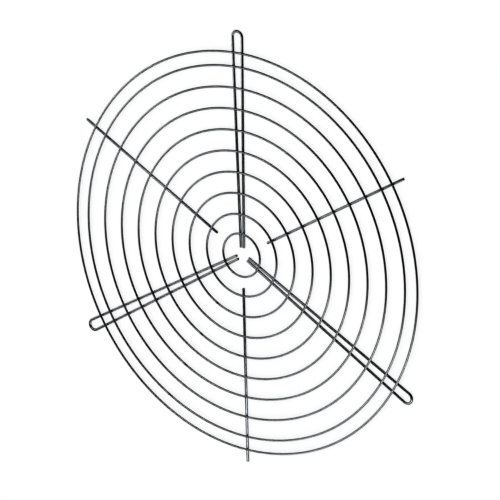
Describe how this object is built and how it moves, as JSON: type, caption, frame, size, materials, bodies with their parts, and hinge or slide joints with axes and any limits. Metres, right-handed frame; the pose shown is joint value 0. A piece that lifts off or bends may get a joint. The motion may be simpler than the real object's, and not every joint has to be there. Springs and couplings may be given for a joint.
{
  "type": "wire fan guard",
  "caption": "Flat round guard of spot-welded steel wire: concentric rings on straight braces and hairpin arms whose closed ends are bolt loops.",
  "frame": {"origin": "the fan's shaft axis, in the plane of the undersides of the arms and braces, which rest on the fan's flange", "axes": "+Z along the fan's axis, away from the fan, with the rings on that side; +Y along the first arm"},
  "size_m": [0.4844, 0.5241, 0.0051],
  "materials": {
    "ring_wire": "bright plated steel wire",
    "arm_wire": "bright plated steel wire",
    "brace_wire": "bright plated steel wire"
  },
  "bodies": {
    "root": {"ring_01": "ring_wire", "ring_02": "ring_wire", "ring_03": "ring_wire", "ring_04": "ring_wire", "ring_05": "ring_wire", "ring_06": "ring_wire", "ring_07": "ring_wire", "ring_08": "ring_wire", "ring_09": "ring_wire", "ring_10": "ring_wire", "arm_1": "arm_wire", "arm_2": "arm_wire", "arm_3": "arm_wire", "brace_1": "brace_wire", "brace_2": "brace_wire", "brace_3": "brace_wire"}
  },
  "joints": []
}
